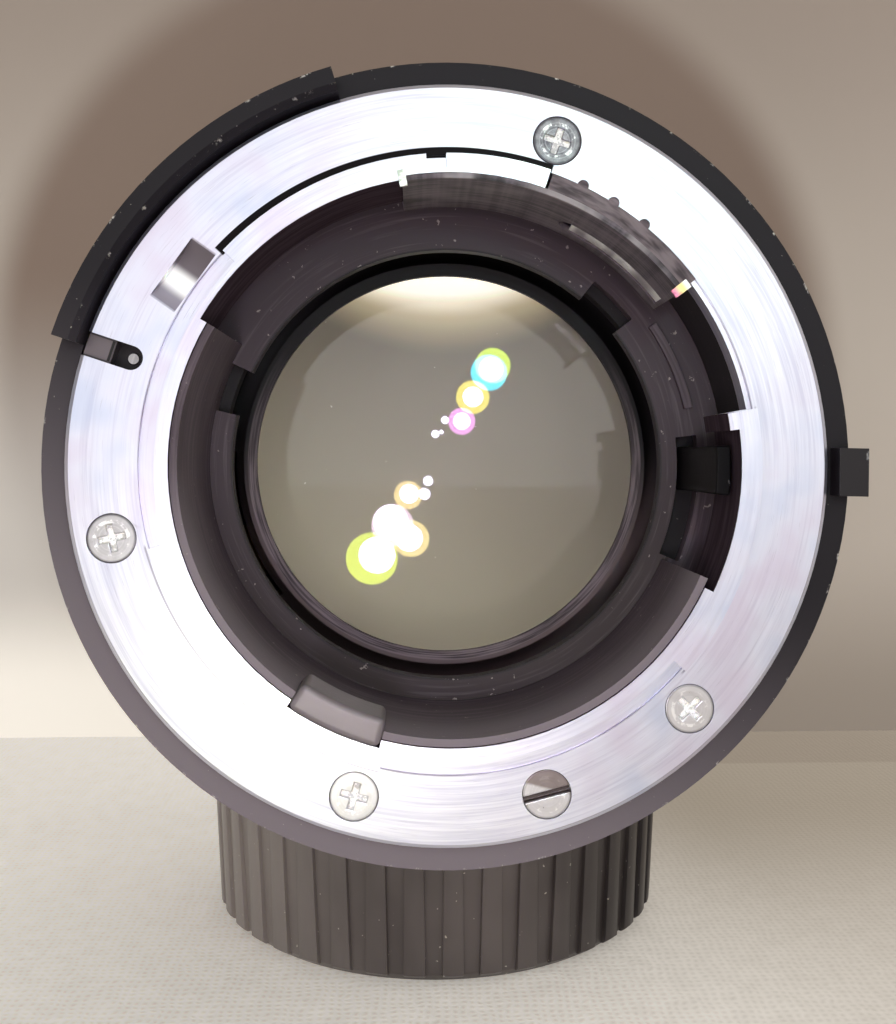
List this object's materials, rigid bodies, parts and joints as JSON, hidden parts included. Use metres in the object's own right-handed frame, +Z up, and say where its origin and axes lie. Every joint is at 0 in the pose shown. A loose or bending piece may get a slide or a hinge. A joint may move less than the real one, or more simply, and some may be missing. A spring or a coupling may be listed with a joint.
{
  "type": "telephoto prime lens",
  "caption": "Manual-focus telephoto lens with bayonet mount, aperture ring, iris, helicoid focusing and sliding hood, lying level on its own rear cap.",
  "frame": {"origin": "centre of the bayonet's seating face", "axes": "+Y forward along the optical axis, +Z up as the lens lies on its cap, +X right as seen from behind"},
  "size_m": [0.0652, 0.0965, 0.0873],
  "materials": {
    "mount_metal": "bright turned",
    "screw_metal": "dark polished",
    "black_anodised": "satin black",
    "matt_black": "matt black",
    "baffle_grey": "matt dark grey",
    "guard_metal": "thin blackened metal",
    "ring_anodised": "satin dark plum grey, worn at the edges",
    "scale_chrome": "satin chrome",
    "lever_metal": "dark satin",
    "servo_black": "black enamel",
    "steel": "plain",
    "brass": "turned",
    "blade_steel": "blued",
    "rubber": "matt",
    "felt": "flocked",
    "glass": "coated",
    "cap_plastic": "ribbed, satin"
  },
  "bodies": {
    "mount_and_barrel": {"mount_flange": "mount_metal", "mount_cross_screws": "screw_metal", "mount_slotted_screw": "screw_metal", "mount_carrier": "matt_black", "lever_guard": "guard_metal", "rear_light_baffle": "baffle_grey", "speed_index_post": "lever_metal", "lever_ring_retainer": "brass", "click_ball": "steel", "click_spring": "steel", "fixed_barrel": "black_anodised", "depth_scale_ring": "scale_chrome", "guide_keys": "brass", "guide_key_screws": "steel"},
    "aperture_control": {"aperture_ring": "ring_anodised", "servo_post": "servo_black"},
    "stop_down": {"stop_down_ring": "brass", "stop_down_lever": "lever_metal"},
    "optical_unit": {"focus_lock_ring": "black_anodised", "inner_barrel": "black_anodised", "front_barrel": "black_anodised", "hood_felt": "felt", "front_element": "glass", "second_element": "glass", "third_element": "glass", "rear_inner_element": "glass", "rear_outer_element": "glass", "front_cell": "matt_black", "element_spacer": "matt_black", "name_ring": "black_anodised", "middle_cell": "matt_black", "middle_retaining_ring": "matt_black", "rear_cell": "matt_black", "rear_retaining_ring": "matt_black", "iris_housing": "matt_black", "iris_retaining_ring": "matt_black"},
    "focus_control": {"helicoid_sleeve": "brass", "focus_ring": "black_anodised", "focus_grip": "rubber", "focus_grub_screws": "steel"},
    "hood": {"sliding_hood": "black_anodised"},
    "iris_cam": {"iris_cam_ring": "brass"},
    "blade_1": {"iris_blade_1": "blade_steel"},
    "blade_2": {"iris_blade_2": "blade_steel"},
    "blade_3": {"iris_blade_3": "blade_steel"},
    "blade_4": {"iris_blade_4": "blade_steel"},
    "blade_5": {"iris_blade_5": "blade_steel"},
    "blade_6": {"iris_blade_6": "blade_steel"},
    "blade_7": {"iris_blade_7": "blade_steel"},
    "cap": {"rear_cap": "cap_plastic"}
  },
  "joints": [
    {"name": "aperture_turn", "type": "hinge", "parent": "mount_and_barrel", "child": "aperture_control", "pos_m": [0, 0.007, 0], "axis": [0, 1, 0], "range_deg": [0, 49]},
    {"name": "stop_down_turn", "type": "hinge", "parent": "mount_and_barrel", "child": "stop_down", "pos_m": [0, 0.0103, 0], "axis": [0, 1, 0], "range_deg": [0, 14.3]},
    {"name": "focus_turn", "type": "hinge", "parent": "optical_unit", "child": "focus_control", "pos_m": [0, 0.045, 0], "axis": [0, 1, 0], "range_deg": [0, 270]},
    {"name": "focus_travel", "type": "slide", "parent": "mount_and_barrel", "child": "optical_unit", "axis": [0, 1, 0], "range_m": [0, 0.01575]},
    {"name": "hood_slide", "type": "slide", "parent": "optical_unit", "child": "hood", "axis": [0, 1, 0], "range_m": [0, 0.02]},
    {"name": "iris_cam_turn", "type": "hinge", "parent": "optical_unit", "child": "iris_cam", "pos_m": [0, 0.0444, 0], "axis": [0, 1, 0], "range_deg": [0, 14.3]},
    {"name": "blade_1_swing", "type": "hinge", "parent": "optical_unit", "child": "blade_1", "pos_m": [-0.02083, 0.0458, 0.00443], "axis": [0, -1, 0], "range_deg": [0, 32]},
    {"name": "blade_2_swing", "type": "hinge", "parent": "optical_unit", "child": "blade_2", "pos_m": [-0.01645, 0.0458, -0.01353], "axis": [0, -1, 0], "range_deg": [0, 32]},
    {"name": "blade_3_swing", "type": "hinge", "parent": "optical_unit", "child": "blade_3", "pos_m": [0.00032, 0.0458, -0.0213], "axis": [0, -1, 0], "range_deg": [0, 32]},
    {"name": "blade_4_swing", "type": "hinge", "parent": "optical_unit", "child": "blade_4", "pos_m": [0.01685, 0.0458, -0.01303], "axis": [0, -1, 0], "range_deg": [0, 32]},
    {"name": "blade_5_swing", "type": "hinge", "parent": "optical_unit", "child": "blade_5", "pos_m": [0.02069, 0.0458, 0.00505], "axis": [0, -1, 0], "range_deg": [0, 32]},
    {"name": "blade_6_swing", "type": "hinge", "parent": "optical_unit", "child": "blade_6", "pos_m": [0.00895, 0.0458, 0.01933], "axis": [0, -1, 0], "range_deg": [0, 32]},
    {"name": "blade_7_swing", "type": "hinge", "parent": "optical_unit", "child": "blade_7", "pos_m": [-0.00953, 0.0458, 0.01905], "axis": [0, -1, 0], "range_deg": [0, 32]},
    {"name": "cap_lift", "type": "slide", "parent": "mount_and_barrel", "child": "cap", "axis": [0, 0, -1], "range_m": [0, 0.03]}
  ],
  "couplings": [
    {"joint": "stop_down_turn", "follows": "aperture_turn", "ratio": 0.28571},
    {"joint": "iris_cam_turn", "follows": "aperture_turn", "ratio": 0.28571},
    {"joint": "focus_travel", "follows": "focus_turn", "m_per_rad": 0.0033316},
    {"joint": "blade_1_swing", "follows": "aperture_turn", "ratio": 0.63924},
    {"joint": "blade_2_swing", "follows": "aperture_turn", "ratio": 0.63924},
    {"joint": "blade_3_swing", "follows": "aperture_turn", "ratio": 0.63924},
    {"joint": "blade_4_swing", "follows": "aperture_turn", "ratio": 0.63924},
    {"joint": "blade_5_swing", "follows": "aperture_turn", "ratio": 0.63924},
    {"joint": "blade_6_swing", "follows": "aperture_turn", "ratio": 0.63924},
    {"joint": "blade_7_swing", "follows": "aperture_turn", "ratio": 0.63924}
  ]
}
